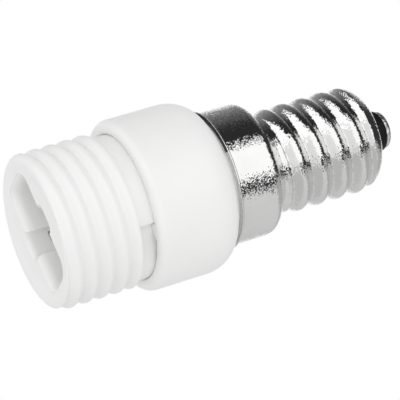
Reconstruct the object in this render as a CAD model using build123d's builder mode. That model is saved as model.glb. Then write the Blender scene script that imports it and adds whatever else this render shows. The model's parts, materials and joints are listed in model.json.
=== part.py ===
"""Lamp socket adapter: an E14 screw cap at one end and a G9 bi-pin socket at the other.

Millimetres. The adapter stands on the rim of its socket: the rim is at Z = 0, +Z runs along the axis to
the centre contact at the tip, and X runs along the long side of the socket's mouth.
"""
from build123d import *
from math import acos, cos, degrees, radians, sin
import os

# Socket moulding: thread for a shade ring
THREAD_CREST_R = 10.0
THREAD_DEPTH = 0.65
THREAD_PITCH = 2.1
THREAD_ROOT_WIDTH = 0.35
THREAD_CREST_WIDTH = 0.55
THREAD_END_Z = 9.9
THREAD_PHASE_Z = 0.53
RIM_CHAMFER = 0.7

# Socket moulding: mouth, pin entries and contact chambers
MOUTH_LENGTH = 14.4
MOUTH_WIDTH = 6.9
MOUTH_CORNER_R = 1.6
MOUTH_DEPTH = 8.4
NOTCH_WIDTH = 3.3
NOTCH_REACH = 5.2
NOTCH_DEPTH = 6.0
PIN_SPACING = 9.0
PIN_ENTRY_LENGTH = 3.8
PIN_ENTRY_WIDTH = 1.7
MOUTH_FLOOR = 1.5
CHAMBER_LENGTH = 4.2
CHAMBER_WIDTH = 5.2

# Socket moulding: neck that plugs into the collar
PAD_R = 9.3
RECESS_ANGLE = 104.0
RECESS_DEPTH = 0.7
PLUG_LENGTH = 9.9

# Collar
COLLAR_WALL = 1.65
COLLAR_FRONT_Z = 12.0
COLLAR_LENGTH = 11.9
COLLAR_FRONT_ROUND = 1.1
COLLAR_REAR_ROUND = 2.8
COLLAR_FLOOR = 2.0
KEY_ANGLE = 13.0
KEY_GAP_ANGLE = 1.0
KEY_LENGTH = 6.0
SPIGOT_ROOM = 0.65
SPIGOT_LENGTH = 4.8
LEAD_HOLE_R = 1.2

# E14 screw cap
CAP_SKIRT_R = 8.6
CAP_SKIRT_LENGTH = 5.15
CAP_SHOULDER_ROUND = 1.5
CAP_SHOULDER_TURN = 60.0
CAP_SHOULDER_LENGTH = 2.6
CAP_CREST_R = 6.85
CAP_THREAD_DEPTH = 0.7
CAP_THREAD_PITCH = 2.822
CAP_THREAD_ROOT_WIDTH = 0.82
CAP_THREAD_CREST_WIDTH = 1.0
CAP_LENGTH = 22.7
CAP_END_ROUND = 3.2
CAP_INNER_CHAMFER = 1.6
CAP_WALL = 0.35
CAP_EYE_R = 2.95

# Tip: insulator and centre contact
BOSS_R = 2.75
BOSS_HEIGHT = 1.9
BOSS_CHAMFER = 0.35
INSULATOR_LENGTH = 2.8
CONTACT_R = 2.4
CONTACT_EDGE = 0.35
CONTACT_DOME = 0.8
RIVET_R = 0.95
RIVET_LENGTH = 5.6

# Contact clips and leads
CLIP_THICKNESS = 0.4
CLIP_WIDTH = 3.2
CLIP_SPREAD = 3.6
CLIP_GAP = 0.8
CLIP_FLARE = 2.6
CLIP_TIP_LENGTH = 2.0
CLIP_LEAF_LENGTH = 3.0
WIRE_R = 0.4
WIRE_TAIL = 0.5
SLEEVE_R = 0.85
BARE_LENGTH = 1.2
NEUTRAL_REACH = 3.0

# Clearances, and how far a thread's flanks and a cutter run on past what they meet
FIT = 0.08
SEAT = 0.1
SINK = 0.05
OVERRUN = 2.0

# Flats that stand for each rounded edge
FLAT_COUNT = 2

# Sizes that follow from those above
THREAD_ROOT_R = THREAD_CREST_R - THREAD_DEPTH
NECK_R = PAD_R - RECESS_DEPTH
PLUG_END_Z = THREAD_END_Z + PLUG_LENGTH
PIN_X = PIN_SPACING / 2
CHAMBER_Z = MOUTH_DEPTH + MOUTH_FLOOR
COLLAR_REAR_Z = COLLAR_FRONT_Z + COLLAR_LENGTH
COLLAR_BORE_R = PAD_R + FIT
COLLAR_R = COLLAR_BORE_R + COLLAR_WALL
COLLAR_FLOOR_Z = PLUG_END_Z + SEAT
SPIGOT_Z = COLLAR_FLOOR_Z + COLLAR_FLOOR
SPIGOT_R = CAP_SKIRT_R - CAP_WALL - FIT
SPIGOT_BORE_R = PIN_X + SLEEVE_R + SPIGOT_ROOM
SPIGOT_END_Z = COLLAR_REAR_Z + SPIGOT_LENGTH
PAD_END_ANGLE = 180 - RECESS_ANGLE / 2
CAP_RIM_Z = COLLAR_REAR_Z + SEAT
CAP_SHOULDER_Z = CAP_RIM_Z + CAP_SKIRT_LENGTH
CAP_BARREL_Z = CAP_SHOULDER_Z + CAP_SHOULDER_LENGTH
CAP_END_Z = CAP_RIM_Z + CAP_LENGTH
CAP_ROOT_R = CAP_CREST_R - CAP_THREAD_DEPTH
CAP_BORE_R = CAP_ROOT_R - CAP_WALL
CAP_INNER_END_Z = CAP_END_Z - CAP_WALL
INSULATOR_R = CAP_BORE_R - FIT
INSULATOR_TOP_Z = CAP_INNER_END_Z - FIT
INSULATOR_Z = INSULATOR_TOP_Z - INSULATOR_LENGTH
BOSS_END_Z = CAP_END_Z + BOSS_HEIGHT
RIVET_Z = BOSS_END_Z - RIVET_LENGTH
CLIP_TIP_Z = CHAMBER_Z + CLIP_THICKNESS
CLIP_BASE_Z = COLLAR_FLOOR_Z - CLIP_THICKNESS / 2
SLEEVE_Z = SPIGOT_Z + BARE_LENGTH

os.makedirs("parts", exist_ok=True)


def rounded_edge(centre, radius, first_angle, last_angle, flats):
    """Points round an edge in a section, with a few flats in place of the arc."""
    step = (last_angle - first_angle) / flats
    angles = [radians(first_angle + i * step) for i in range(flats + 1)]
    return [(centre[0] + radius * cos(a), centre[1] + radius * sin(a)) for a in angles]


def helical_ridge(root_r, depth, root_width, crest_width, pitch, first_z, last_z):
    """A screw thread's ridge with flat flanks, which run on a little into the core that carries it."""
    base_width = pitch - root_width
    sunk_width = base_width + (base_width - crest_width) * SINK / depth
    with BuildPart() as ridge:
        with BuildLine() as path:
            Helix(pitch=pitch, height=last_z - first_z, radius=root_r, center=(0, 0, first_z))
        with BuildSketch(Plane(origin=path.line @ 0, x_dir=(1, 0, 0), z_dir=path.line % 0)):
            with BuildLine():
                Polyline(
                    (-SINK, -sunk_width / 2),
                    (depth, -crest_width / 2),
                    (depth, crest_width / 2),
                    (-SINK, sunk_width / 2),
                    close=True,
                )
            make_face()
        sweep(path=path.line, is_frenet=True)
    return ridge.part


# Socket moulding, white heat-resistant plastic: threaded barrel, mouth and neck in one piece
socket_ridge = helical_ridge(
    THREAD_ROOT_R,
    THREAD_DEPTH,
    THREAD_ROOT_WIDTH,
    THREAD_CREST_WIDTH,
    THREAD_PITCH,
    THREAD_PHASE_Z - THREAD_PITCH,
    THREAD_END_Z + OVERRUN,
)
with BuildPart() as socket_body:
    with BuildSketch(Plane.XY.offset(-2 * OVERRUN)):
        Circle(THREAD_ROOT_R)
    extrude(amount=THREAD_END_Z + 4 * OVERRUN)
    add(socket_ridge)
    with BuildSketch(Plane.XY):
        Circle(THREAD_CREST_R + OVERRUN)
    extrude(amount=THREAD_END_Z, mode=Mode.INTERSECT)
    with BuildSketch(Plane.XZ):
        with BuildLine():
            Polyline(
                (THREAD_CREST_R - RIM_CHAMFER - OVERRUN, -OVERRUN),
                (THREAD_CREST_R + OVERRUN, RIM_CHAMFER + OVERRUN),
                (THREAD_CREST_R + OVERRUN, -OVERRUN),
                close=True,
            )
        make_face()
    revolve(axis=Axis.Z, mode=Mode.SUBTRACT)
    with BuildSketch(Plane.XY.offset(THREAD_END_Z)):
        Circle(PAD_R)
    extrude(amount=PLUG_LENGTH)
    for recess_middle in (0, 180):
        first_angle = recess_middle - RECESS_ANGLE / 2
        with BuildSketch(Plane.XY.offset(THREAD_END_Z)):
            with BuildLine():
                recess_floor = CenterArc((0, 0), NECK_R, first_angle, RECESS_ANGLE)
                recess_top = CenterArc((0, 0), THREAD_CREST_R, first_angle, RECESS_ANGLE)
                Line(recess_floor @ 0, recess_top @ 0)
                Line(recess_floor @ 1, recess_top @ 1)
            make_face()
        extrude(amount=PLUG_LENGTH, mode=Mode.SUBTRACT)
    with BuildSketch(Plane.XY):
        RectangleRounded(MOUTH_LENGTH, MOUTH_WIDTH, MOUTH_CORNER_R)
    extrude(amount=MOUTH_DEPTH, mode=Mode.SUBTRACT)
    with BuildSketch(Plane.XY):
        Rectangle(NOTCH_WIDTH, 2 * NOTCH_REACH)
    extrude(amount=NOTCH_DEPTH, mode=Mode.SUBTRACT)
    with BuildSketch(Plane.XY.offset(MOUTH_DEPTH)):
        with Locations((PIN_X, 0), (-PIN_X, 0)):
            SlotOverall(PIN_ENTRY_LENGTH, PIN_ENTRY_WIDTH)
    extrude(amount=MOUTH_FLOOR, mode=Mode.SUBTRACT)
    with BuildSketch(Plane.XY.offset(CHAMBER_Z)):
        with Locations((PIN_X, 0), (-PIN_X, 0)):
            Rectangle(CHAMBER_LENGTH, CHAMBER_WIDTH)
    extrude(amount=PLUG_END_Z - CHAMBER_Z, mode=Mode.SUBTRACT)
socket_body.part.label = "socket_body"
export_step(socket_body.part, "parts/socket_body.step")

# Collar, white plastic: a cup over the socket's neck, with two keys in its bore and a spigot for the cap
front_centre = (COLLAR_R - COLLAR_FRONT_ROUND, COLLAR_FRONT_Z + COLLAR_FRONT_ROUND)
rear_round = min(COLLAR_REAR_ROUND, COLLAR_R - SPIGOT_R - SEAT)
rear_centre = (COLLAR_R - rear_round, COLLAR_REAR_Z - rear_round)
with BuildPart() as collar:
    with BuildSketch(Plane.XZ):
        with BuildLine():
            Polyline(
                (COLLAR_BORE_R, COLLAR_FRONT_Z),
                *rounded_edge(front_centre, COLLAR_FRONT_ROUND, -90, 0, FLAT_COUNT),
                *rounded_edge(rear_centre, rear_round, 0, 90, FLAT_COUNT),
                (SPIGOT_R, COLLAR_REAR_Z),
                (SPIGOT_R, SPIGOT_END_Z),
                (SPIGOT_BORE_R, SPIGOT_END_Z),
                (SPIGOT_BORE_R, SPIGOT_Z),
                (0, SPIGOT_Z),
                (0, COLLAR_FLOOR_Z),
                (COLLAR_BORE_R, COLLAR_FLOOR_Z),
                close=True,
            )
        make_face()
    revolve(axis=Axis.Z)
    with BuildSketch(Plane.XY.offset(COLLAR_FLOOR_Z)):
        with Locations((PIN_X, 0), (-PIN_X, 0)):
            Circle(LEAD_HOLE_R)
    extrude(amount=COLLAR_FLOOR, mode=Mode.SUBTRACT)
    for pad_end in (PAD_END_ANGLE, PAD_END_ANGLE + 180):
        first_angle = pad_end + KEY_GAP_ANGLE
        with BuildSketch(Plane.XY.offset(COLLAR_FRONT_Z)):
            with BuildLine():
                key_face = CenterArc((0, 0), NECK_R + FIT, first_angle, KEY_ANGLE)
                key_root = CenterArc((0, 0), COLLAR_BORE_R + SINK, first_angle, KEY_ANGLE)
                Line(key_face @ 0, key_root @ 0)
                Line(key_face @ 1, key_root @ 1)
            make_face()
        extrude(amount=KEY_LENGTH)
collar.part.label = "collar"
export_step(collar.part, "parts/collar.step")

# Screw cap's shell, nickel-plated brass sheet rolled to an E14 thread, its bore left plain
cap_ridge = helical_ridge(
    CAP_ROOT_R,
    CAP_THREAD_DEPTH,
    CAP_THREAD_ROOT_WIDTH,
    CAP_THREAD_CREST_WIDTH,
    CAP_THREAD_PITCH,
    CAP_BARREL_Z - CAP_THREAD_PITCH / 2,
    CAP_END_Z + OVERRUN,
)
end_edge = rounded_edge(
    (CAP_CREST_R - CAP_END_ROUND, CAP_END_Z - CAP_END_ROUND), CAP_END_ROUND, 90, 0, FLAT_COUNT
)
past_crest = Vector(*end_edge[-1]) * 2 - Vector(*end_edge[-2])
shoulder_centre = (CAP_SKIRT_R - CAP_SHOULDER_ROUND, CAP_SHOULDER_Z)
with BuildPart() as screw_shell:
    with BuildSketch(Plane.XY.offset(CAP_SHOULDER_Z)):
        Circle(CAP_ROOT_R)
    extrude(amount=CAP_END_Z + 2 * OVERRUN - CAP_SHOULDER_Z)
    add(cap_ridge)
    with BuildSketch(Plane.XZ):
        with BuildLine():
            Polyline(
                (0, CAP_RIM_Z),
                (CAP_SKIRT_R, CAP_RIM_Z),
                *rounded_edge(shoulder_centre, CAP_SHOULDER_ROUND, 0, CAP_SHOULDER_TURN, FLAT_COUNT),
                (CAP_ROOT_R - SINK, CAP_BARREL_Z),
                (0, CAP_BARREL_Z),
                close=True,
            )
        make_face()
    revolve(axis=Axis.Z)
    with BuildSketch(Plane.XZ):
        with BuildLine():
            Polyline(
                (0, CAP_END_Z),
                *end_edge,
                (past_crest.X, past_crest.Y),
                (CAP_CREST_R + 2 * OVERRUN, past_crest.Y),
                (CAP_CREST_R + 2 * OVERRUN, CAP_END_Z + 3 * OVERRUN),
                (0, CAP_END_Z + 3 * OVERRUN),
                close=True,
            )
        make_face()
    revolve(axis=Axis.Z, mode=Mode.SUBTRACT)
    with BuildSketch(Plane.XZ):
        with BuildLine():
            Polyline(
                (0, CAP_RIM_Z - OVERRUN),
                (CAP_SKIRT_R - CAP_WALL, CAP_RIM_Z - OVERRUN),
                (CAP_SKIRT_R - CAP_WALL, CAP_SHOULDER_Z),
                (CAP_BORE_R, CAP_BARREL_Z),
                (CAP_BORE_R, CAP_INNER_END_Z - CAP_INNER_CHAMFER),
                (CAP_BORE_R - CAP_INNER_CHAMFER, CAP_INNER_END_Z),
                (CAP_EYE_R, CAP_INNER_END_Z),
                (CAP_EYE_R, CAP_END_Z + OVERRUN),
                (0, CAP_END_Z + OVERRUN),
                close=True,
            )
        make_face()
    revolve(axis=Axis.Z, mode=Mode.SUBTRACT)
screw_shell.part.label = "screw_shell"
export_step(screw_shell.part, "parts/screw_shell.step")

# Tip insulator, black moulding: a plug seated in the end of the shell, with a boss through the shell's eye
with BuildPart() as tip_insulator:
    with BuildSketch(Plane.XZ):
        with BuildLine():
            Polyline(
                (RIVET_R + FIT, INSULATOR_Z),
                (INSULATOR_R, INSULATOR_Z),
                (INSULATOR_R, INSULATOR_TOP_Z - CAP_INNER_CHAMFER),
                (INSULATOR_R - CAP_INNER_CHAMFER, INSULATOR_TOP_Z),
                (BOSS_R, INSULATOR_TOP_Z),
                (BOSS_R, BOSS_END_Z - BOSS_CHAMFER),
                (BOSS_R - BOSS_CHAMFER, BOSS_END_Z),
                (RIVET_R + FIT, BOSS_END_Z),
                close=True,
            )
        make_face()
    revolve(axis=Axis.Z)
tip_insulator.part.label = "tip_insulator"
export_step(tip_insulator.part, "parts/tip_insulator.step")

# Centre contact, nickel-plated brass rivet: domed head on the boss, shank through it to the live wire
dome_r = (CONTACT_R**2 + CONTACT_DOME**2) / (2 * CONTACT_DOME)
dome_centre_z = BOSS_END_Z + CONTACT_EDGE + CONTACT_DOME - dome_r
dome_angle = degrees(acos(CONTACT_R / dome_r))
with BuildPart() as centre_contact:
    with BuildSketch(Plane.XZ):
        with BuildLine():
            Polyline(
                (0, RIVET_Z),
                (RIVET_R, RIVET_Z),
                (RIVET_R, BOSS_END_Z),
                (CONTACT_R, BOSS_END_Z),
                *rounded_edge((0, dome_centre_z), dome_r, dome_angle, 90, FLAT_COUNT),
                close=True,
            )
        make_face()
    revolve(axis=Axis.Z)
centre_contact.part.label = "centre_contact"
export_step(centre_contact.part, "parts/centre_contact.step")


def contact_clip(pin_x):
    """A sprung strip bent to a U round one lamp pin, with a hole for its wire in the bend's flat back."""
    pinch_y = (CLIP_GAP + CLIP_THICKNESS) / 2
    pinch_z = CLIP_TIP_Z + CLIP_TIP_LENGTH
    half = [
        (CLIP_FLARE / 2, CLIP_TIP_Z),
        (pinch_y, pinch_z),
        (CLIP_SPREAD / 2, pinch_z + CLIP_LEAF_LENGTH),
        (CLIP_SPREAD / 2, CLIP_BASE_Z),
    ]
    other_half = [(-y, z) for y, z in reversed(half)]
    with BuildPart() as clip:
        with BuildSketch(Plane.YZ.offset(pin_x)):
            with BuildLine():
                Polyline(*half, *other_half)
                offset(amount=CLIP_THICKNESS / 2, kind=Kind.INTERSECTION, side=Side.BOTH)
            make_face()
        extrude(amount=CLIP_WIDTH / 2, both=True)
        with BuildSketch(Plane.XY.offset(CLIP_BASE_Z - CLIP_THICKNESS)):
            with Locations((pin_x, 0)):
                Circle(WIRE_R + FIT)
        extrude(amount=2 * CLIP_THICKNESS, mode=Mode.SUBTRACT)
    return clip.part


# Contact clips, nickel-plated bronze strip, held between the socket's floor and the collar's
live_clip = contact_clip(PIN_X)
live_clip.label = "live_clip"
export_step(live_clip, "parts/live_clip.step")
neutral_clip = contact_clip(-PIN_X)
neutral_clip.label = "neutral_clip"
export_step(neutral_clip, "parts/neutral_clip.step")


def sleeved_lead(pin_x, end_x, sleeve_end_z, end_z):
    """A straight wire from the hole in a clip's back into the cap, with a sleeve along its middle."""
    clip_hole = Vector(pin_x, 0, CLIP_BASE_Z)
    run = Vector(end_x, 0, end_z) - clip_hole
    steepness = run.length / run.Z
    along_wire = Plane(origin=clip_hole, z_dir=run)
    with BuildPart() as lead:
        with BuildSketch(along_wire.offset(-WIRE_TAIL)):
            Circle(WIRE_R)
        extrude(amount=run.length + WIRE_TAIL)
        with BuildSketch(along_wire.offset((SLEEVE_Z - CLIP_BASE_Z) * steepness)):
            Circle(SLEEVE_R)
        extrude(amount=(sleeve_end_z - SLEEVE_Z) * steepness)
    return lead.part


# Live lead, sleeved wire: from its clip through the collar's floor and across to the centre contact's shank
LIVE_END_Z = RIVET_Z - 2 * SEAT
live_lead = sleeved_lead(PIN_X, 0, LIVE_END_Z - BARE_LENGTH, LIVE_END_Z)
live_lead.label = "live_lead"
export_step(live_lead, "parts/live_lead.step")

# Neutral lead, sleeved wire: from its clip through the collar's floor, its bare end at the shell's inner wall
NEUTRAL_END_X = CAP_BORE_R - WIRE_R - SEAT
neutral_lead = sleeved_lead(-PIN_X, -NEUTRAL_END_X, SPIGOT_END_Z - BARE_LENGTH, CAP_BARREL_Z + NEUTRAL_REACH)
neutral_lead.label = "neutral_lead"
export_step(neutral_lead, "parts/neutral_lead.step")
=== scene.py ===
import json
from math import cos, pi, radians, sin

import bpy
import bmesh
from mathutils import Matrix, Vector


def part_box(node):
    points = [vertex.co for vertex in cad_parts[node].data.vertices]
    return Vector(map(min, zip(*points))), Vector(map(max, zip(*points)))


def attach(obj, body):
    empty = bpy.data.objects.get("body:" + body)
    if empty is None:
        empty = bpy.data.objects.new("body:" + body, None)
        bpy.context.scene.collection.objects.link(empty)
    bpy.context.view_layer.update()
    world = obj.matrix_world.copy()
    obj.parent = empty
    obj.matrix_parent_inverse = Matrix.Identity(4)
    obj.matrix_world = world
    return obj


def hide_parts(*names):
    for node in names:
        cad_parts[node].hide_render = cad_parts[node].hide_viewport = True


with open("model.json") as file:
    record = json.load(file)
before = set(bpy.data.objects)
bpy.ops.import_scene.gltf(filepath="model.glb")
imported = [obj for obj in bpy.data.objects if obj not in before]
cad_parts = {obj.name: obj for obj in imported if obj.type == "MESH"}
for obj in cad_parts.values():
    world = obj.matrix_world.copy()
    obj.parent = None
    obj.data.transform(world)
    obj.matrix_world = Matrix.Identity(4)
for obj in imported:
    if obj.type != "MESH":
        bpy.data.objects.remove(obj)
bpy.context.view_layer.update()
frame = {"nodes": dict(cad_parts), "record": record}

# Studio
# The adapter is seen from in front of its socket, its axis rising to the right. A pale one-sided floor
# carries it in the other views. Bright and dark cards are what the plated cap reflects, and three lamps
# that it doesn't reflect light the white mouldings.
VIEW_ANGLE = radians(20)
PICTURE_UP = Vector((cos(VIEW_ANGLE), sin(VIEW_ANGLE), 0))
TOWARDS_VIEWER = Vector((-sin(VIEW_ANGLE), cos(VIEW_ANGLE), 0))
ALONG_AXIS = Vector((0, 0, 1))
IMAGE_PIXELS = 400
SENSOR_MM = 36
FOCAL_PIXELS = 2965.5
NEAREST_SEEN = 0.01


def studio_point(up, near, along):
    """A place or direction given upwards in the picture, towards the viewer and along the adapter's axis."""
    return PICTURE_UP * up + TOWARDS_VIEWER * near + ALONG_AXIS * along


def turned_to(facing, upwards):
    """A turn whose local Z faces one way and whose local Y points about upwards."""
    back = facing.normalized()
    right = upwards.cross(back).normalized()
    return Matrix((right, back.cross(right), back)).transposed().to_4x4()


def placed(name, data):
    """A new object in the scene for a mesh, a lamp or a camera."""
    piece = bpy.data.objects.new(name, data)
    bpy.context.scene.collection.objects.link(piece)
    return piece


CAMERA_PLACE = studio_point(0.00024, 0.34458, -0.1168)
CAMERA_BACK = studio_point(0.0058, 0.9273, -0.3742)
CAMERA_UP = studio_point(0.9579, 0.1023, 0.2683)
camera = placed("camera", bpy.data.cameras.new("camera"))
camera.data.sensor_width = SENSOR_MM
camera.data.lens = SENSOR_MM * FOCAL_PIXELS / IMAGE_PIXELS
camera.data.clip_start = NEAREST_SEEN
camera.matrix_world = Matrix.Translation(CAMERA_PLACE) @ turned_to(CAMERA_BACK, CAMERA_UP)
bpy.context.scene.camera = camera
bpy.context.scene.view_settings.view_transform = "Standard"


class Link:
    """A value in a node tree. Arithmetic on it adds Math nodes, and add() makes any other node."""

    def __init__(self, tree, socket=None):
        self.tree = tree
        self.socket = socket

    def add(self, kind, settings=None, inputs=None, output=0):
        node = self.tree.nodes.new(kind)
        for name, value in (settings or {}).items():
            setattr(node, name, value)
        for key, value in (inputs or {}).items():
            if isinstance(value, Link):
                self.tree.links.new(value.socket, node.inputs[key])
            else:
                node.inputs[key].default_value = value
        return Link(self.tree, node.outputs[output] if node.outputs else None)

    def maths(self, operation, *values):
        return self.add("ShaderNodeMath", {"operation": operation}, dict(enumerate(values)))

    def __add__(self, other):
        return self.maths("ADD", self, other)

    def __sub__(self, other):
        return self.maths("SUBTRACT", self, other)

    def __rsub__(self, other):
        return self.maths("SUBTRACT", other, self)

    def __mul__(self, other):
        return self.maths("MULTIPLY", self, other)

    def __truediv__(self, other):
        return self.maths("DIVIDE", self, other)

    def __rtruediv__(self, other):
        return self.maths("DIVIDE", other, self)

    def __pow__(self, other):
        return self.maths("POWER", self, other)

    def __rpow__(self, other):
        return self.maths("POWER", other, self)

    __radd__ = __add__
    __rmul__ = __mul__


def new_material(name):
    """An empty node material and a Link to build it with."""
    material = bpy.data.materials.new(name)
    material.use_nodes = True
    material.node_tree.nodes.clear()
    return material, Link(material.node_tree)


AMBIENT = 0.84
WHITE = (1, 1, 1, 1)
world = bpy.data.worlds.new("studio")
world.use_nodes = True
world.node_tree.nodes.clear()
bpy.context.scene.world = world
air = Link(world.node_tree)
camera_ray = air.add("ShaderNodeLightPath", output="Is Camera Ray")
glossy_ray = air.add("ShaderNodeLightPath", output="Is Glossy Ray")
clear_ray = air.add("ShaderNodeLightPath", output="Is Transmission Ray")
seen = air.maths("MAXIMUM", air.maths("MAXIMUM", camera_ray, glossy_ray), clear_ray)
brightness = AMBIENT + (1 - AMBIENT) * seen
backdrop = air.add("ShaderNodeBackground", inputs={"Color": WHITE, "Strength": brightness})
air.add("ShaderNodeOutputWorld", inputs={"Surface": backdrop})

MIDDLE = Vector((0, 0, 0.033))
LAMP_SIZE = 0.6


def square_lamp(name, place, radiance):
    """A square lamp that faces the adapter and doesn't show in reflections."""
    lamp = bpy.data.lights.new(name, "AREA")
    lamp.shape = "SQUARE"
    lamp.size = LAMP_SIZE
    lamp.energy = radiance * pi * LAMP_SIZE ** 2
    holder = placed(name, lamp)
    holder.matrix_world = Matrix.Translation(place + MIDDLE) @ turned_to(place, ALONG_AXIS)
    holder.visible_camera = False
    holder.visible_glossy = False


def flat_sheet(name, width, height):
    """A flat oblong mesh about its own origin."""
    corners = [(x * width / 2, y * height / 2, 0) for x, y in ((-1, -1), (1, -1), (1, 1), (-1, 1))]
    mesh = bpy.data.meshes.new(name)
    mesh.from_pydata(corners, [], [(0, 1, 2, 3)])
    return mesh


def reflected_card(name, place, size, facing, shade, top_shade=None):
    """A card that shows only in reflections, in one shade or in shades that run from its foot to its top."""
    material, start = new_material(name)
    tone = (shade, shade, shade, 1)
    if top_shade is not None:
        spot = start.add("ShaderNodeTexCoord", output="Object")
        height = start.add("ShaderNodeSeparateXYZ", inputs={0: spot}, output="Y") / size[1] + 0.5
        tone = shade + (top_shade - shade) * height
    glow = start.add("ShaderNodeEmission", inputs={"Color": tone, "Strength": 1.0})
    start.add("ShaderNodeOutputMaterial", inputs={"Surface": glow})
    card = placed(name, flat_sheet(name, *size))
    card.data.materials.append(material)
    card.matrix_world = Matrix.Translation(place + MIDDLE) @ facing
    card.visible_camera = False
    card.visible_diffuse = False
    card.visible_shadow = False
    card.visible_transmission = False


UPRIGHT = turned_to(-TOWARDS_VIEWER, PICTURE_UP)
LEVEL = turned_to(-PICTURE_UP, TOWARDS_VIEWER)
END_ON = turned_to(-ALONG_AXIS, PICTURE_UP)
square_lamp("front_light", studio_point(0.1, 0.7, -0.15), 0.75)
square_lamp("socket_light", studio_point(0.1, 0.4, -0.6), 0.2)
square_lamp("cap_light", studio_point(0.2, 0.5, 0.6), 0.3)
reflected_card("softbox", studio_point(0.22, 0.55, 0.2), (0.9, 0.84), UPRIGHT, 1.25, 1.3)
reflected_card("dark_room", studio_point(0, 1.6, 0.8), (2, 4), UPRIGHT, 0.05)
reflected_card("bright_room", studio_point(0, 1.6, -1.2), (2, 4), UPRIGHT, 0.95)
reflected_card("dark_ceiling", studio_point(0.55, 0.5, 0.55), (1.5, 1.3), LEVEL, 0.03)
reflected_card("ceiling_edge", studio_point(0.549, -0.45, 0.55), (1.5, 1.1), LEVEL, 0.5, 0.02)
reflected_card("bright_ceiling", studio_point(0.55, 0.2, -0.85), (1.3, 1.6), LEVEL, 1.4)
reflected_card("table", studio_point(-0.4, -0.2, 0.1), (2.4, 1.4), LEVEL, 0.62, 0.8)
reflected_card("table_flag", studio_point(-0.39, -0.2, 0.95), (1.2, 1.4), LEVEL, 0.5)
reflected_card("table_shade", studio_point(-0.39, -0.2, -0.72), (1.3, 1.4), LEVEL, 0.6)
reflected_card("far_wall", studio_point(0, 0.3, 1.5), (3, 2.4), END_ON, 0.04)
reflected_card("socket_side_wall", studio_point(0, 0, -2.0), (4, 3), END_ON, 0.95)

FLOOR_SIZE = 1.2
FLOOR_FADE = 0.3
PALE_GREY = (0.8, 0.8, 0.8, 1)


def floor_paint():
    """Pale matt paint on top that thins out to nothing, and nothing at all from below."""
    material, start = new_material("floor")
    place = start.add("ShaderNodeTexCoord", output="Object")
    reach = start.add("ShaderNodeVectorMath", {"operation": "LENGTH"}, {0: place}, output="Value")
    fade = start.maths("MINIMUM", reach / FLOOR_FADE, 1.0) ** 2
    under = start.add("ShaderNodeNewGeometry", output="Backfacing")
    gone = start.maths("MAXIMUM", fade, under)
    pale = start.add("ShaderNodeBsdfDiffuse", inputs={"Color": PALE_GREY})
    clear = start.add("ShaderNodeBsdfTransparent")
    one_sided = start.add("ShaderNodeMixShader", inputs={0: gone, 1: pale, 2: clear})
    start.add("ShaderNodeOutputMaterial", inputs={"Surface": one_sided})
    return material


floor = placed("floor", flat_sheet("floor", FLOOR_SIZE, FLOOR_SIZE))
floor.data.materials.append(floor_paint())
floor.visible_diffuse = False
floor.visible_glossy = False
floor.visible_shadow = False
floor.visible_transmission = False

# Socket moulding
# One injection moulding in white heat-resistant plastic: a barrel with a thread for a shade ring, the
# oblong mouth for a bi-pin lamp with its two side notches, and a stepped neck that is locked into the
# collar.
MM = 0.001
mounts = {mount["name"]: mount for mount in frame["record"]["mounts"]}
SHADE_THREAD = mounts["shade_ring_thread"]["dims"]
BARREL_R = SHADE_THREAD["r_mm"]
BARREL_LENGTH = SHADE_THREAD["length_mm"]
SHADE_PITCH = 2.1
SHADE_DEPTH = 0.65
SHADE_CREST = 0.53
SHADE_FULLNESS = 0.7
NECK_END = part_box("socket_body")[1].z / MM
RIM_ROUND = 1.0
DISH = 0.35
DISH_R = (7.0, 9.0)
DISH_RINGS = (0, 3, 6)
DISH_STEPS = 8
ROUND_STEPS = 10
ROW_HEIGHT = 0.1
BLOCK_STEPS = 60
OVERCUT = 1.0
LIP_LEVEL = 80


def arc(centre, radius, first, last, steps=ROUND_STEPS):
    """Points (r, z) round an arc of a section, angles in degrees from the outward direction towards +Z."""
    angles = [radians(first + (last - first) * step / steps) for step in range(steps + 1)]
    return [(centre[0] + radius * cos(a), centre[1] + radius * sin(a)) for a in angles]


def smooth(share):
    """An even rise from 0 to 1 with level ends."""
    share = min(max(share, 0), 1)
    return share * share * (3 - 2 * share)


def rows(radius, first, last):
    """Points (r, z) up a straight wall, closely spaced."""
    count = round((last - first) / ROW_HEIGHT)
    return [(radius, first + (last - first) * step / count) for step in range(1, count)]


def turned(name, section, segments):
    """A closed mesh turned from a section in millimetres: from axis to axis, or a loop clear of the axis."""
    verts, rings = [], []
    for r, z in section:
        count = segments if r > 0 else 1
        rings.append([len(verts) + i for i in range(count)])
        for i in range(count):
            angle = 2 * pi * i / count
            verts.append((r * MM * cos(angle), r * MM * sin(angle), z * MM))
    if section[0][0] > 0:
        rings.append(rings[0])
    faces = []
    for low, high in zip(rings, rings[1:]):
        for i in range(segments):
            j = (i + 1) % segments
            corners = [low[i % len(low)], low[j % len(low)], high[j % len(high)], high[i % len(high)]]
            faces.append(list(dict.fromkeys(corners)))
    mesh = bpy.data.meshes.new(name)
    mesh.from_pydata(verts, [], faces)
    return mesh


def outward(mesh):
    """Turns a closed mesh's faces outwards."""
    shape = bmesh.new()
    shape.from_mesh(mesh)
    bmesh.ops.remove_doubles(shape, verts=shape.verts, dist=1e-8)
    bmesh.ops.recalc_face_normals(shape, faces=shape.faces)
    shape.to_mesh(mesh)
    shape.free()
    return mesh


def applied(piece):
    """Bakes a piece's modifiers into a plain mesh."""
    bpy.context.view_layer.update()
    graph = bpy.context.evaluated_depsgraph_get()
    piece.data = bpy.data.meshes.new_from_object(piece.evaluated_get(graph))
    piece.modifiers.clear()


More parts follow.
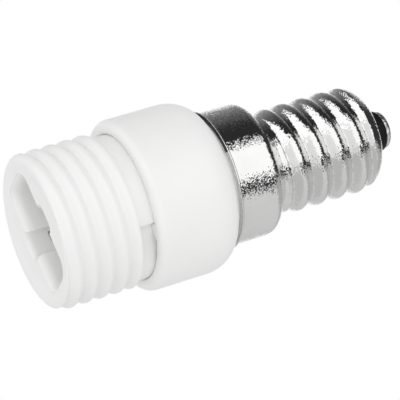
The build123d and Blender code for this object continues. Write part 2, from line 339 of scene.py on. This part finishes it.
def thread_tree():
    """Geometry nodes that form a round thread in a turned blank, down to a root that winds up its axis."""
    tree = bpy.data.node_groups.new("screw_thread", "GeometryNodeTree")
    tree.interface.new_socket("Blank", in_out="INPUT", socket_type="NodeSocketGeometry")
    for name in ("Crest radius", "Depth", "Pitch", "Crest height", "First height", "Last height", "Fullness"):
        tree.interface.new_socket(name, in_out="INPUT", socket_type="NodeSocketFloat")
    tree.interface.new_socket("Material", in_out="INPUT", socket_type="NodeSocketMaterial")
    tree.interface.new_socket("Threaded", in_out="OUTPUT", socket_type="NodeSocketGeometry")
    start = Link(tree)
    given = {socket.name: start.add("NodeGroupInput", output=socket.name)
             for socket in tree.interface.items_tree if socket.in_out == "INPUT"}
    point = start.add("GeometryNodeInputPosition")
    x, y, z = (start.add("ShaderNodeSeparateXYZ", inputs={0: point}, output=axis) for axis in "XYZ")
    blank_radius = (x * x + y * y) ** 0.5
    turns = (z - given["Crest height"]) / given["Pitch"] - start.maths("ARCTAN2", y, x) / (2 * pi)
    wave = (0.5 + 0.5 * start.maths("COSINE", turns * (2 * pi))) ** given["Fullness"]
    thread_radius = given["Crest radius"] - given["Depth"] * (1 - wave)
    above = start.maths("GREATER_THAN", z, given["First height"])
    below = start.maths("LESS_THAN", z, given["Last height"])
    proud = start.maths("MAXIMUM", blank_radius - thread_radius, 0.0) * above * below
    share = 1 - proud / start.maths("MAXIMUM", blank_radius, 1e-6)
    moved = start.add("ShaderNodeCombineXYZ", inputs={"X": x * share, "Y": y * share, "Z": z})
    formed = start.add("GeometryNodeSetPosition", inputs={"Geometry": given["Blank"], "Position": moved})
    real = start.add("GeometryNodeRealizeInstances", inputs={"Geometry": formed})
    painted = start.add("GeometryNodeSetMaterial", inputs={"Geometry": real, "Material": given["Material"]})
    start.add("NodeGroupOutput", inputs={"Threaded": painted})
    return tree


SCREW_THREAD = thread_tree()


def cut_thread(piece, material, **sizes):
    """Forms a thread in a turned blank and keeps the result as a plain mesh."""
    modifier = piece.modifiers.new("thread", "NODES")
    modifier.node_group = SCREW_THREAD
    for socket in SCREW_THREAD.interface.items_tree:
        if socket.name == "Material":
            modifier[socket.identifier] = material
        elif socket.name in sizes:
            modifier[socket.identifier] = sizes[socket.name]
    applied(piece)
    outward(piece.data)


def prism(name, layers):
    """A closed mesh through layers of like outlines, each a height and its points (x, y), in millimetres."""
    verts = [(x * MM, y * MM, z * MM) for z, outline in layers for x, y in outline]
    count = len(layers[0][1])
    faces = [list(range(count)), list(range(len(verts) - count, len(verts)))]
    for layer in range(len(layers) - 1):
        for i in range(count):
            j = (i + 1) % count
            low, high = layer * count, (layer + 1) * count
            faces.append([low + i, low + j, high + j, high + i])
    mesh = bpy.data.meshes.new(name)
    mesh.from_pydata(verts, [], faces)
    return outward(mesh)


def rounded_oblong(length, width, corner, middle=(0, 0)):
    """The outline of an oblong with round corners."""
    points = []
    for turn, sign_x, sign_y in ((0, 1, 1), (90, -1, 1), (180, -1, -1), (270, 1, -1)):
        centre = (middle[0] + sign_x * (length / 2 - corner), middle[1] + sign_y * (width / 2 - corner))
        points += arc(centre, corner, turn, turn + 90)
    return points


def flared_pocket(name, length, width, corner, depth, lip):
    """A cutter for a pocket in the dished rim, its lip rounded over by so much sideways and so much deep."""
    layers = []
    for spread, sink in arc((1, 1), -1, LIP_LEVEL, 0):
        reach = spread * lip[0]
        grown = rounded_oblong(length + 2 * reach, width + 2 * reach, corner + reach)
        layers.append((DISH + sink * lip[1], grown))
    layers.insert(0, (-OVERCUT, layers[0][1]))
    layers.append((depth, layers[-1][1]))
    return prism(name, layers)


def curved_block(name, outer, first, last, low, high, inner):
    """A curved block between two angles in degrees and two heights, its inner radius given by angle."""
    face = []
    for step in range(BLOCK_STEPS + 1):
        angle = first + (last - first) * step / BLOCK_STEPS
        radius = inner(angle - first)
        face.append((radius * cos(radians(angle)), radius * sin(radians(angle))))
    outline = face + arc((0, 0), outer, last, first, BLOCK_STEPS)
    return prism(name, [(low, outline), (high, outline)])


def combined(piece, meshes, operation):
    """Cuts closed meshes out of a piece, or joins them to it."""
    helpers = []
    for mesh in meshes:
        helper = placed(mesh.name, mesh)
        modifier = piece.modifiers.new(mesh.name, "BOOLEAN")
        modifier.operation = operation
        modifier.solver = "EXACT"
        modifier.object = helper
        helpers.append(helper)
    applied(piece)
    for helper in helpers:
        bpy.data.objects.remove(helper)


SHARP_EDGE = radians(34)


def even_shading(piece):
    """Smooth shading that breaks at sharp edges and keeps flat faces flat."""
    mesh = piece.data
    mesh.shade_smooth()
    mesh.set_sharp_from_angle(angle=SHARP_EDGE)
    modifier = piece.modifiers.new("even_shading", "WEIGHTED_NORMAL")
    modifier.keep_sharp = True
    modifier.weight = 80
    applied(piece)


def stand_for(piece, node):
    """Lets a finished piece stand for its solid."""
    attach(piece, "root")
    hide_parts(node)


def blend(mask, low, high):
    """A tone that goes from one colour to another as a mask rises from 0 to 1."""
    return mask.add("ShaderNodeMix", {"data_type": "RGBA"}, {0: mask, 6: low, 7: high}, output=2)


def surface(start, inputs):
    """Ends a material in its shader."""
    shader = start.add("ShaderNodeBsdfPrincipled", inputs=inputs)
    start.add("ShaderNodeOutputMaterial", inputs={"Surface": shader})


def white_plastic():
    """Satin white moulding: a hint of uneven tone and gloss, and a fine moulded grain."""
    material, start = new_material("white_plastic")
    place = start.add("ShaderNodeTexCoord", output="Object")
    cloud = start.add("ShaderNodeTexNoise", inputs={"Vector": place, "Scale": 160.0, "Detail": 3.0})
    grain = start.add("ShaderNodeTexNoise", inputs={"Vector": place, "Scale": 3500.0, "Detail": 2.0})
    tone = blend(cloud, (0.84, 0.84, 0.835, 1), (0.88, 0.88, 0.875, 1))
    bump = start.add("ShaderNodeBump", inputs={"Height": grain, "Strength": 0.12, "Distance": 0.00004})
    gloss = 0.42 + 0.12 * cloud
    surface(start, {"Base Color": tone, "Roughness": gloss, "Normal": bump, "IOR": 1.5})
    return material


WHITE_PLASTIC = white_plastic()
NECK_R = 9.3
NECK_FILLET = 0.15
socket_section = [(r, DISH) for r in DISH_RINGS]
for step in range(DISH_STEPS + 1):
    share = step / DISH_STEPS
    socket_section.append((DISH_R[0] + (DISH_R[1] - DISH_R[0]) * share, DISH * (1 - smooth(share))))
socket_section += arc((BARREL_R - RIM_ROUND, RIM_ROUND), RIM_ROUND, -90, 0)
socket_section += rows(BARREL_R, RIM_ROUND, BARREL_LENGTH)
socket_section += [(BARREL_R, BARREL_LENGTH)]
socket_section += arc((NECK_R + NECK_FILLET, BARREL_LENGTH + NECK_FILLET), NECK_FILLET, 270, 180, 4)
socket_section += [(NECK_R, NECK_END), (0, NECK_END)]
socket_moulding = placed("socket_moulding", turned("socket_moulding", socket_section, 360))
cut_thread(socket_moulding, WHITE_PLASTIC, **{
    "Crest radius": BARREL_R * MM, "Depth": SHADE_DEPTH * MM, "Pitch": SHADE_PITCH * MM,
    "Crest height": SHADE_CREST * MM, "First height": -OVERCUT * MM,
    "Last height": (BARREL_LENGTH + ROW_HEIGHT / 10) * MM, "Fullness": SHADE_FULLNESS,
})

MOUTH_LENGTH = 13.6
MOUTH_WIDTH = 6.5
MOUTH_CORNER = 1.6
MOUTH_LIP = (0.8, 1.4)
MOUTH_DEPTH = 8.4
NOTCH_WIDTH = 3.3
NOTCH_SPAN = 9.4
NOTCH_CORNER = 0.7
NOTCH_LIP = (0.5, 0.9)
NOTCH_DEPTH = 6.0
WINDOW_WIDTH = 1.5
WINDOW_REACH = 3.0
WINDOW_CORNER = 0.1
WINDOW_PLACE = (0.9, 6.0)
WINDOW_HEIGHTS = (3.4, 5.9)
CHAMBER_START = 9.9
CHAMBER_LENGTH = 4.2
CHAMBER_WIDTH = 5.2
CHAMBER_CORNER = 0.2
PINS = mounts["lamp_pins"]["dims"]
PIN_X = PINS["spacing_x_mm"] / 2
PIN_SLOT_R = PINS["hole_r_mm"]
PIN_SLOT_FLAT = 0.001
RECESS_R = 8.45
STEP_ANGLE = 128
RAMP_ANGLE = 50
NECK_GAP = 0.02


def ramp(turn):
    """The neck's radius in its recess, from the step round to the full neck."""
    return RECESS_R + (NECK_R + NECK_GAP - RECESS_R) * smooth(turn / RAMP_ANGLE)


pockets = [
    flared_pocket("mouth", MOUTH_LENGTH, MOUTH_WIDTH, MOUTH_CORNER, MOUTH_DEPTH, MOUTH_LIP),
    flared_pocket("notches", NOTCH_WIDTH, NOTCH_SPAN, NOTCH_CORNER, NOTCH_DEPTH, NOTCH_LIP),
]
for side in (-1, 1):
    window_middle = (-side * WINDOW_PLACE[0], side * WINDOW_PLACE[1])
    window = rounded_oblong(WINDOW_WIDTH, WINDOW_REACH, WINDOW_CORNER, window_middle)
    pockets.append(prism("notch_window", [(height, window) for height in WINDOW_HEIGHTS]))
    pin_middle = (side * PIN_X, 0)
    slot = rounded_oblong(PINS["slot_length_mm"], 2 * PIN_SLOT_R, PIN_SLOT_R - PIN_SLOT_FLAT, pin_middle)
    pockets.append(prism("pin_slot", [(MOUTH_DEPTH - OVERCUT, slot), (CHAMBER_START + OVERCUT, slot)]))
    chamber = rounded_oblong(CHAMBER_LENGTH, CHAMBER_WIDTH, CHAMBER_CORNER, pin_middle)
    pockets.append(prism("chamber", [(CHAMBER_START, chamber), (NECK_END + OVERCUT, chamber)]))
    first = STEP_ANGLE + 90 + 90 * side
    pockets.append(curved_block(
        "recess", NECK_R + 2 * OVERCUT, first, first + RAMP_ANGLE, BARREL_LENGTH, NECK_END + OVERCUT, ramp
    ))
combined(socket_moulding, pockets, "DIFFERENCE")
even_shading(socket_moulding)
stand_for(socket_moulding, "socket_body")

# Collar
# A second white moulding: a cup over the socket's neck with well rounded edges, two keys in its bore that
# lock the neck, and behind its floor the spigot that carries the plated cap.
collar_low, collar_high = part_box("collar")
cap_low, cap_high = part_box("screw_shell")
SKIRT_R = cap_high.x / MM
SKIRT_RIM = cap_low.z / MM
SHEET = 0.35
FIT_GAP = 0.08
COLLAR_INSET = 0.01
COLLAR_R = collar_high.x / MM - COLLAR_INSET
COLLAR_FRONT = collar_low.z / MM
REAR_GAP = 0.3
COLLAR_REAR = SKIRT_RIM - REAR_GAP
FRONT_ROUND = 1.1
REAR_ROUND = (2.7, 3.8)
BORE_R = NECK_R + NECK_GAP
LIP_ROUND = 0.4
SPIGOT_R = SKIRT_R - SHEET - FIT_GAP
SPIGOT_BORE_R = 6.0
SPIGOT_END = collar_high.z / MM
FLOOR_GAP = 0.1
FLOOR_THICKNESS = 2.0
FLOOR_FRONT = NECK_END + FLOOR_GAP
FLOOR_REAR = FLOOR_FRONT + FLOOR_THICKNESS
collar_section = [(0, FLOOR_FRONT), (BORE_R, FLOOR_FRONT)]
collar_section += arc((BORE_R + LIP_ROUND, COLLAR_FRONT + LIP_ROUND), LIP_ROUND, 180, 270, 6)
collar_section += arc((COLLAR_R - FRONT_ROUND, COLLAR_FRONT + FRONT_ROUND), FRONT_ROUND, -90, 0, 16)
rear_centre = (COLLAR_R - REAR_ROUND[0], COLLAR_REAR - REAR_ROUND[1])
collar_section += [(rear_centre[0] + REAR_ROUND[0] * x, rear_centre[1] + REAR_ROUND[1] * z)
                   for x, z in arc((0, 0), 1, 0, 90, 28)]
collar_section += [(SPIGOT_R, COLLAR_REAR), (SPIGOT_R, SPIGOT_END), (SPIGOT_BORE_R, SPIGOT_END)]
collar_section += [(SPIGOT_BORE_R, FLOOR_REAR), (0, FLOOR_REAR)]
collar_moulding = placed("collar_moulding", outward(turned("collar", collar_section, 256)))

KEY_R = RECESS_R + FIT_GAP
KEY_ROOT = 0.8
KEY_SINK = 0.05
KEY_PLAY = 1
KEY_START = STEP_ANGLE + KEY_PLAY
KEY_ANGLE = 13
KEY_RUN_OUT = 6
KEY_LENGTH = 6.0
KEY_FRONT = COLLAR_FRONT + COLLAR_INSET
KEY_END = COLLAR_FRONT + KEY_LENGTH


def key_face(turn):
    """A key's inner radius, level at first and then running out into the wall of the bore."""
    return KEY_R + (BORE_R + KEY_SINK - KEY_R) * smooth((turn - KEY_ANGLE + KEY_RUN_OUT) / KEY_RUN_OUT)


keys = []
for first in (KEY_START, KEY_START + 180):
    last = first + KEY_ANGLE
    keys.append(curved_block("key", BORE_R + KEY_ROOT, first, last, KEY_FRONT, KEY_END, key_face))
combined(collar_moulding, keys, "UNION")
LEAD_HOLE_R = 1.2
LEAD_HOLE_SIDES = 32
lead_holes = []
for side in (-1, 1):
    hole = arc((side * PIN_X, 0), LEAD_HOLE_R, 0, 360 - 360 / LEAD_HOLE_SIDES, LEAD_HOLE_SIDES - 1)
    lead_holes.append(prism("lead_hole", [(FLOOR_FRONT - OVERCUT, hole), (FLOOR_REAR + OVERCUT, hole)]))
combined(collar_moulding, lead_holes, "DIFFERENCE")
collar_moulding.data.materials.append(WHITE_PLASTIC)
even_shading(collar_moulding)
stand_for(collar_moulding, "collar")

# Screw cap
# A cup drawn from thin brass sheet with a round thread rolled in its barrel, nickel plated. Its skirt is
# pressed over the collar's spigot and its end is turned in round the insulator.
CAP_THREAD = mounts["cap_thread"]["dims"]
CAP_END = cap_high.z / MM
CAP_CREST_R = CAP_THREAD["r_mm"]
CAP_PITCH = 2.822
CAP_DEPTH = 0.7
CAP_FULLNESS = 0.65
CAP_ROOT_R = CAP_CREST_R - CAP_DEPTH
CAP_BORE_R = CAP_ROOT_R - SHEET
BARREL_START = CAP_END - CAP_THREAD["length_mm"]
SHOULDER = 29.15
SHOULDER_ROUND = 1.5
SHOULDER_TURN = 58
RUN_IN = 2.2
RUN_IN_STEPS = 24
END_ROUND = 3.2
INNER_END = CAP_END - SHEET
INNER_CHAMFER = 1.6
EYE_R = 2.95
EYE_CHAMFER = 0.1
LIP_REACH = 0.36
LIP_SETBACK = 0.2
LIP_R = SKIRT_R + LIP_REACH
LIP_FRONT = SKIRT_RIM + LIP_SETBACK
LIP_EDGE = 0.14
# Width and reach of the painted shade on the cap's rim, which stands for the shadow in the gap between collar
# and lip.
GAP_SHADE_BAND = 0.05
GAP_SHADE_REACH = 2.8
FACET_LEAN = 0.22


def nickel_plate():
    """Nickel plate: grey metal with a grain of tiny leaning facets, and a painted shade: a dark band on the
    rim's front edge, on the side upwards in the view, for the shadow in the gap between collar and lip.
    """
    material, start = new_material("nickel_plate")
    place = start.add("ShaderNodeTexCoord", output="Object")
    cloud = start.add("ShaderNodeTexNoise", inputs={"Vector": place, "Scale": 300.0, "Detail": 4.0})
    plate = blend(cloud, (0.7, 0.7, 0.695, 1), (0.8, 0.8, 0.795, 1))
    x, y, z = (start.add("ShaderNodeSeparateXYZ", inputs={0: place}, output=axis) for axis in "XYZ")
    # Painted shade: the rim's front edge is made near black on the upper side only, where the gap between
    # collar and lip lies in shadow.
    upper_side = start.maths("GREATER_THAN", x * PICTURE_UP.x + y * PICTURE_UP.y, GAP_SHADE_REACH * MM)
    painted_gap_shade = start.maths("LESS_THAN", z, (LIP_FRONT + GAP_SHADE_BAND) * MM) * upper_side
    tone = blend(painted_gap_shade, plate, (0.03, 0.03, 0.03, 1))
    facet = start.add("ShaderNodeTexVoronoi", inputs={"Vector": place, "Scale": 8500.0}, output="Color")
    upright = start.add("ShaderNodeNewGeometry", output="Normal")
    middle = start.add(
        "ShaderNodeVectorMath", {"operation": "SUBTRACT"}, {0: upright, 1: 3 * (FACET_LEAN / 2,)}
    )
    leaning = start.add(
        "ShaderNodeVectorMath", {"operation": "MULTIPLY_ADD"}, {0: facet, 1: 3 * (FACET_LEAN,), 2: middle}
    )
    grain = start.add("ShaderNodeVectorMath", {"operation": "NORMALIZE"}, {0: leaning})
    gloss = 0.05 + 0.05 * cloud
    surface(start, {"Base Color": tone, "Metallic": 1.0, "Roughness": gloss, "Normal": grain})
    return material


NICKEL_PLATE = nickel_plate()
cap_section = [(SKIRT_R - SHEET, LIP_FRONT)]
cap_section += arc((LIP_R - LIP_EDGE, LIP_FRONT + LIP_EDGE), LIP_EDGE, -90, 90, 12)
cap_section += arc((SKIRT_R + LIP_EDGE, LIP_FRONT + 3 * LIP_EDGE), LIP_EDGE, -90, -180, 6)
cap_section += arc((SKIRT_R - SHOULDER_ROUND, SHOULDER), SHOULDER_ROUND, 0, SHOULDER_TURN, 16)
for step in range(RUN_IN_STEPS + 1):
    share = step / RUN_IN_STEPS
    cap_section.append((CAP_ROOT_R + CAP_DEPTH * smooth(share), BARREL_START + RUN_IN * share))
cap_section += rows(CAP_CREST_R, BARREL_START + RUN_IN, CAP_END - END_ROUND)
cap_section += arc((CAP_CREST_R - END_ROUND, CAP_END - END_ROUND), END_ROUND, 0, 90, 36)
cap_section += [(EYE_R + EYE_CHAMFER, CAP_END), (EYE_R, CAP_END - EYE_CHAMFER)]
cap_section += [(EYE_R, INNER_END), (CAP_BORE_R - INNER_CHAMFER, INNER_END)]
cap_section += [(CAP_BORE_R, INNER_END - INNER_CHAMFER), (CAP_BORE_R, BARREL_START)]
cap_section += [(SKIRT_R - SHEET, SHOULDER)]
cap_shell = placed("cap_shell", turned("cap_shell", cap_section, 320))
cut_thread(cap_shell, NICKEL_PLATE, **{
    "Crest radius": CAP_CREST_R * MM, "Depth": CAP_DEPTH * MM, "Pitch": CAP_PITCH * MM,
    "Crest height": (BARREL_START - CAP_PITCH / 2) * MM, "First height": BARREL_START * MM,
    "Last height": CAP_END * MM, "Fullness": CAP_FULLNESS,
})
even_shading(cap_shell)
stand_for(cap_shell, "screw_shell")

# Tip insulator
# A black moulded plug seated in the end of the cap, with a short boss that stands out of the cap's eye and
# keeps the centre contact apart from it.
plug_low, plug_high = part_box("tip_insulator")
PLUG_R = plug_high.x / MM
PLUG_START = plug_low.z / MM
PLUG_TOP = INNER_END - FIT_GAP
BOSS_END = plug_high.z / MM
BOSS_R = 2.75
BOSS_TOP_R = 2.6
BOSS_ROUND = 0.25
RIVET_R = 0.95
RIVET_HOLE_R = RIVET_R + FIT_GAP


def black_insulator():
    """Black moulded insulator with a slightly uneven gloss and a pitted surface."""
    material, start = new_material("black_insulator")
    place = start.add("ShaderNodeTexCoord", output="Object")
    pits = start.add("ShaderNodeTexNoise", inputs={"Vector": place, "Scale": 1500.0, "Detail": 3.0})
    tone = blend(pits, (0.004, 0.004, 0.004, 1), (0.014, 0.014, 0.014, 1))
    bump = start.add("ShaderNodeBump", inputs={"Height": pits, "Strength": 0.4, "Distance": 0.00008})
    gloss = 0.3 + 0.2 * pits
    surface(start, {"Base Color": tone, "Roughness": gloss, "Normal": bump, "IOR": 1.2})
    return material


plug_section = [(RIVET_HOLE_R, PLUG_START), (PLUG_R, PLUG_START), (PLUG_R, PLUG_TOP - INNER_CHAMFER)]
plug_section += [(PLUG_R - INNER_CHAMFER, PLUG_TOP), (BOSS_R, PLUG_TOP), (BOSS_R, CAP_END)]
plug_section += arc((BOSS_TOP_R - BOSS_ROUND, BOSS_END - BOSS_ROUND), BOSS_ROUND, 0, 90, 6)
plug_section += [(RIVET_HOLE_R, BOSS_END)]
insulator_plug = placed("insulator_plug", outward(turned("insulator_plug", plug_section, 128)))
insulator_plug.data.materials.append(black_insulator())
even_shading(insulator_plug)
stand_for(insulator_plug, "tip_insulator")

# Centre contact
# A plated rivet whose shank goes down through the insulator to the live wire. Its head is a low dome of
# bright, slightly lumpy metal that presses on the lampholder's spring.
contact_low, contact_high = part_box("centre_contact")
CONTACT_R = contact_high.x / MM
CONTACT_TOP = contact_high.z / MM
SHANK_END = contact_low.z / MM
HEAD_EDGE = 0.3
HEAD_CHAMFER = 0.1
DOME_START = BOSS_END + HEAD_EDGE
DOME_FULLNESS = 0.8
DOME_STEPS = 16


def contact_metal():
    """Bright tinned metal with the lumps and pits of a soldered, hammered head."""
    material, start = new_material("contact_metal")
    place = start.add("ShaderNodeTexCoord", output="Object")
    lumps = start.add("ShaderNodeTexNoise", inputs={"Vector": place, "Scale": 1400.0, "Detail": 4.0})
    tone = blend(lumps, (0.5, 0.5, 0.5, 1), (0.85, 0.85, 0.84, 1))
    bump = start.add("ShaderNodeBump", inputs={"Height": lumps, "Strength": 0.9, "Distance": 0.0003})
    gloss = 0.2 + 0.2 * lumps
    surface(start, {"Base Color": tone, "Metallic": 1.0, "Roughness": gloss, "Normal": bump})
    return material


contact_section = [(0, SHANK_END), (RIVET_R, SHANK_END), (RIVET_R, BOSS_END)]
contact_section += [(CONTACT_R - HEAD_CHAMFER, BOSS_END), (CONTACT_R, BOSS_END + HEAD_CHAMFER)]
contact_section += [(CONTACT_R, DOME_START)]
for step in range(1, DOME_STEPS):
    lift = radians(90 * step / DOME_STEPS)
    dome_height = (CONTACT_TOP - DOME_START) * sin(lift)
    contact_section.append((CONTACT_R * cos(lift) ** DOME_FULLNESS, DOME_START + dome_height))
contact_section.append((0, CONTACT_TOP))
contact_rivet = placed("contact_rivet", outward(turned("contact_rivet", contact_section, 96)))
contact_rivet.data.materials.append(contact_metal())
even_shading(contact_rivet)
stand_for(contact_rivet, "centre_contact")

# Contact clips
# Two sprung strips of plated bronze, bent to a U round each lamp pin and trapped between the socket's
# chambers and the collar's floor.


def spring_strip():
    """Plated bronze strip with fine rolling lines and a warm, uneven tone."""
    material, start = new_material("spring_strip")
    place = start.add("ShaderNodeTexCoord", output="Object")
    stretched = start.add("ShaderNodeMapping", inputs={"Vector": place, "Scale": (1, 1, 0.05)})
    lines = start.add("ShaderNodeTexNoise", inputs={"Vector": stretched, "Scale": 6000.0, "Detail": 2.0})
    tone = blend(lines, (0.52, 0.46, 0.36, 1), (0.68, 0.61, 0.48, 1))
    bump = start.add("ShaderNodeBump", inputs={"Height": lines, "Strength": 0.2, "Distance": 0.00002})
    gloss = 0.25 + 0.15 * lines
    surface(start, {"Base Color": tone, "Metallic": 1.0, "Roughness": gloss, "Normal": bump})
    return material


def dress(node, material):
    """Gives a CAD piece that keeps its own shape its finish."""
    slots = frame["nodes"][node].data.materials
    slots.clear()
    slots.append(material)


SPRING_STRIP = spring_strip()
for node in ("live_clip", "neutral_clip"):
    dress(node, SPRING_STRIP)

# Leads
# Two tinned wires in silicone sleeves, inside the closed cap: one runs from its clip to the contact's
# shank, the other to the cap's wall. Their ends are bare.
BARE_AT_FLOOR = 1.2
BARE_AT_SHANK = 1.4
BARE_AT_WALL = 1.2


def sleeved_wire(name, sleeve_start, sleeve_end):
    """Dull silicone sleeve between two heights, with bare tinned wire below and above it."""
    material, start = new_material(name)
    place = start.add("ShaderNodeTexCoord", output="Object")
    height = start.add("ShaderNodeSeparateXYZ", inputs={0: place}, output="Z")
    above = start.maths("GREATER_THAN", height, sleeve_start * MM)
    sleeve = above * start.maths("LESS_THAN", height, sleeve_end * MM)
    mottle = start.add("ShaderNodeTexNoise", inputs={"Vector": place, "Scale": 900.0, "Detail": 3.0})
    rubber = blend(mottle, (0.7, 0.68, 0.63, 1), (0.8, 0.78, 0.74, 1))
    tone = blend(sleeve, (0.75, 0.75, 0.73, 1), rubber)
    bump = start.add("ShaderNodeBump", inputs={"Height": mottle, "Strength": 0.2, "Distance": 0.00005})
    gloss = 0.3 + 0.3 * sleeve
    surface(start, {"Base Color": tone, "Metallic": 1 - sleeve, "Roughness": gloss, "Normal": bump})
    return material


SLEEVE_START = FLOOR_REAR + BARE_AT_FLOOR
dress("live_lead", sleeved_wire("live_wire", SLEEVE_START, SHANK_END - BARE_AT_SHANK))
dress("neutral_lead", sleeved_wire("neutral_wire", SLEEVE_START, SPIGOT_END - BARE_AT_WALL))
